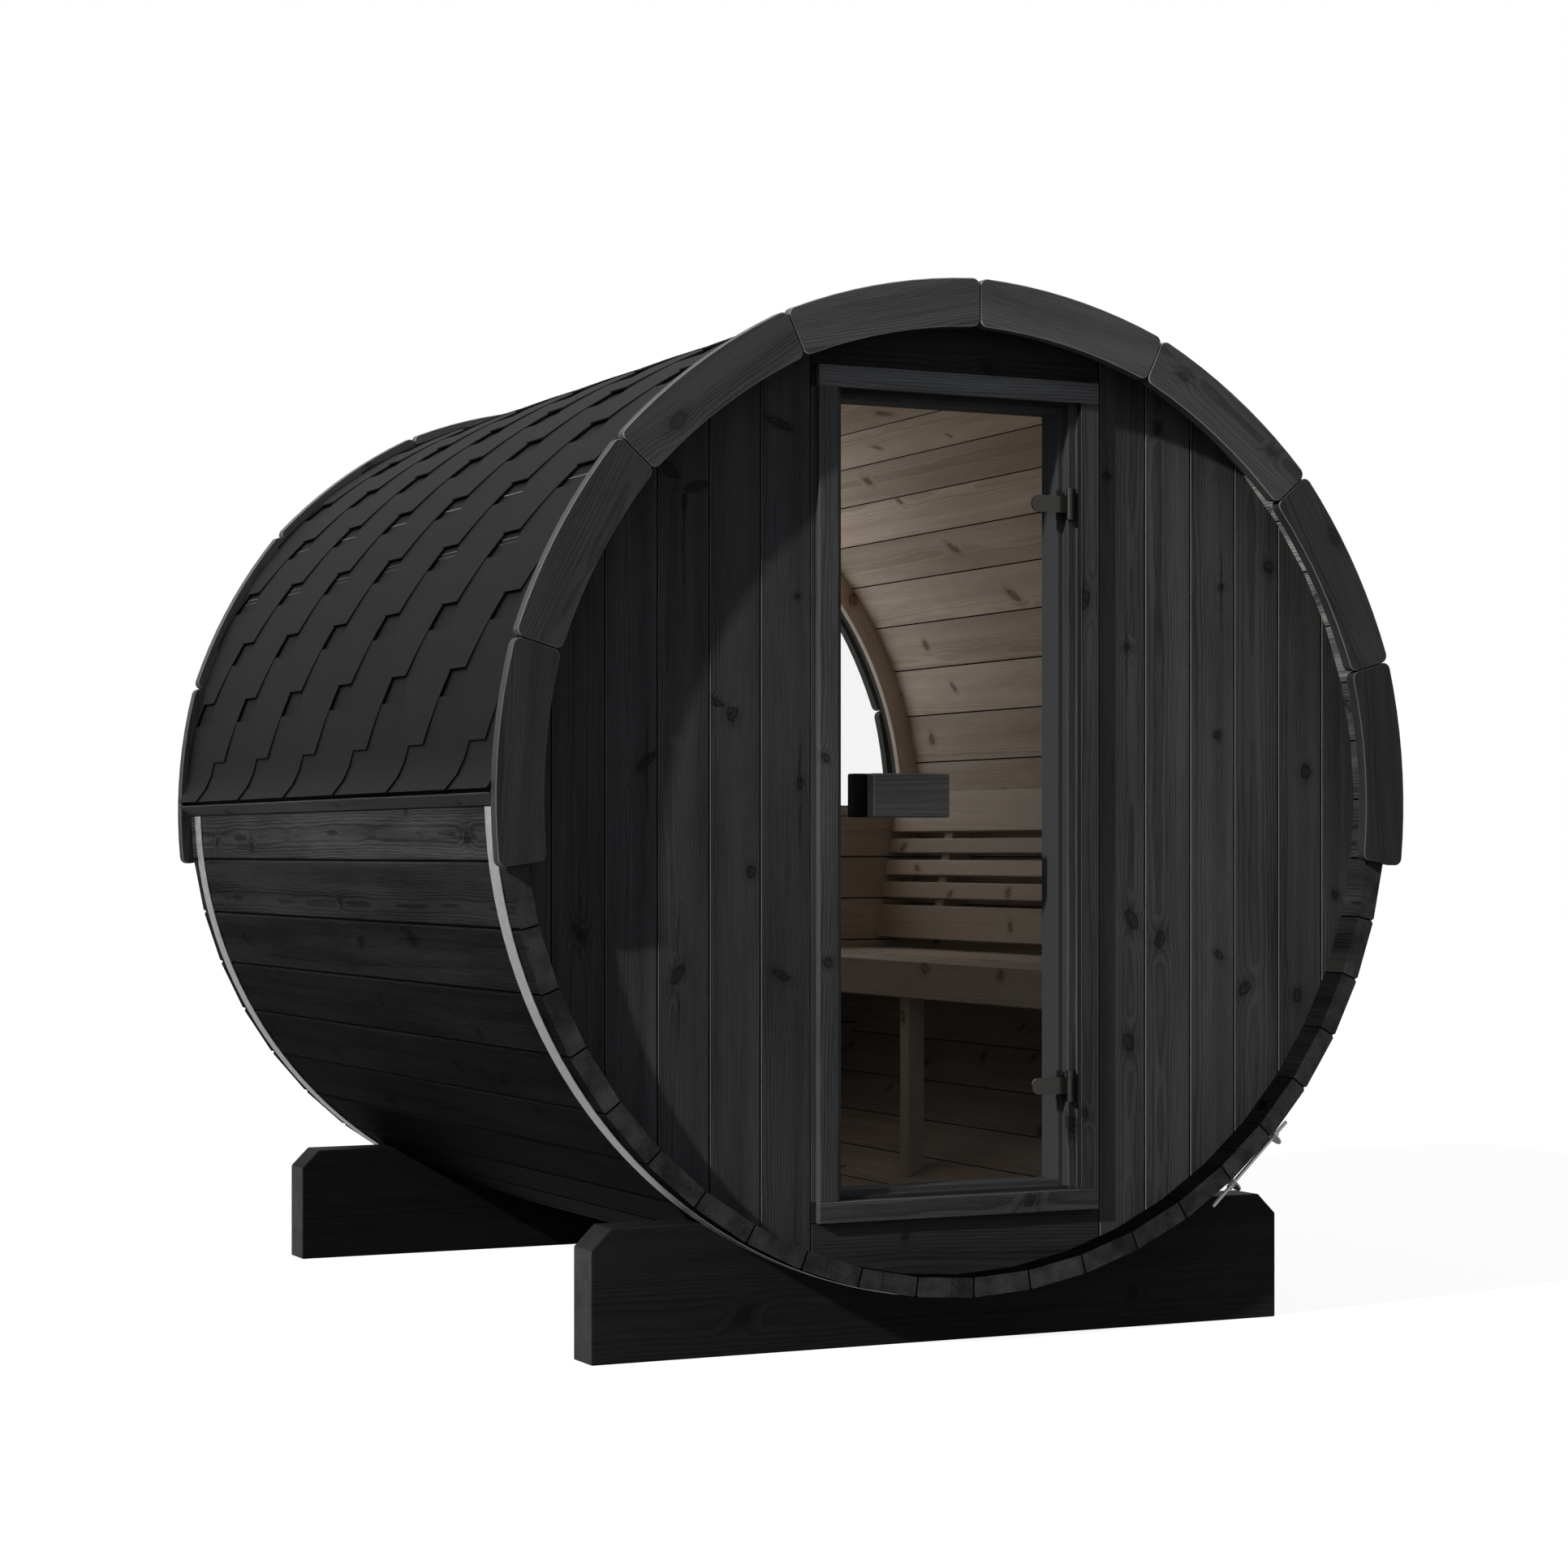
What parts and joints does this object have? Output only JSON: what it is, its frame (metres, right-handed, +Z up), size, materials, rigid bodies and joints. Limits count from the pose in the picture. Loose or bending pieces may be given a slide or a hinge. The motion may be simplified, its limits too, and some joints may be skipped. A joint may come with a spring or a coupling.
{
  "type": "barrel sauna",
  "caption": "Round stave-built garden sauna on cradles, with a shingled roof, a glass door that opens outwards, a half-round rear window and a bench inside.",
  "frame": {"origin": "on the ground, under the middle of the barrel", "axes": "+Y along the barrel from the door end to the window end, +X to the right when facing the door, +Z up"},
  "size_m": [2.112, 2.256, 2.1714],
  "materials": {
    "black_wood": "black-stained spruce, matt, grain showing",
    "natural_wood": "bare planed softwood",
    "shingle": "granular bitumen shingle",
    "steel": "bright galvanised band",
    "hinge_metal": "satin dark nickel",
    "black_rubber": "matt",
    "smoked_glass": "lightly bronze-tinted toughened glass",
    "clear_glass": "clear toughened glass"
  },
  "bodies": {
    "cabin": {"staves_right": "black_wood", "staves_top": "black_wood", "staves_left": "black_wood", "staves_bottom": "black_wood", "fascia_front": "black_wood", "fascia_rear": "black_wood", "front_wall_left": "black_wood", "front_wall_right": "black_wood", "front_panel_top": "black_wood", "front_panel_bottom": "black_wood", "door_jambs": "black_wood", "door_head_and_sill": "black_wood", "door_trim_sides": "black_wood", "door_trim_head": "black_wood", "door_trim_sill": "black_wood", "rear_wall_boards": "black_wood", "rear_window_rail": "black_wood", "rear_window_arch": "black_wood", "rear_window_glass": "clear_glass", "bench_apron": "natural_wood", "bench_seat": "natural_wood", "bench_bearers": "natural_wood", "bench_leg": "natural_wood", "backrest_boards": "natural_wood", "backrest_uprights": "natural_wood", "roof_right": "shingle", "roof_left": "shingle", "roof_batten_right": "black_wood", "roof_batten_left": "black_wood", "band_front": "steel", "band_rear": "steel", "cradle_front": "black_wood", "cradle_rear": "black_wood", "hinge_leaves": "hinge_metal", "band_tensioners": "steel"},
    "door": {"door_glass": "smoked_glass", "door_handle_outer": "black_wood", "door_handle_inner": "black_wood", "hinge_clamps": "hinge_metal", "hinge_pads": "black_rubber"}
  },
  "joints": [
    {"name": "door_hinge", "type": "hinge", "parent": "cabin", "child": "door", "pos_m": [0.261, -1.0395, 0], "axis": [0, 0, 1], "range_deg": [0, 105]}
  ]
}
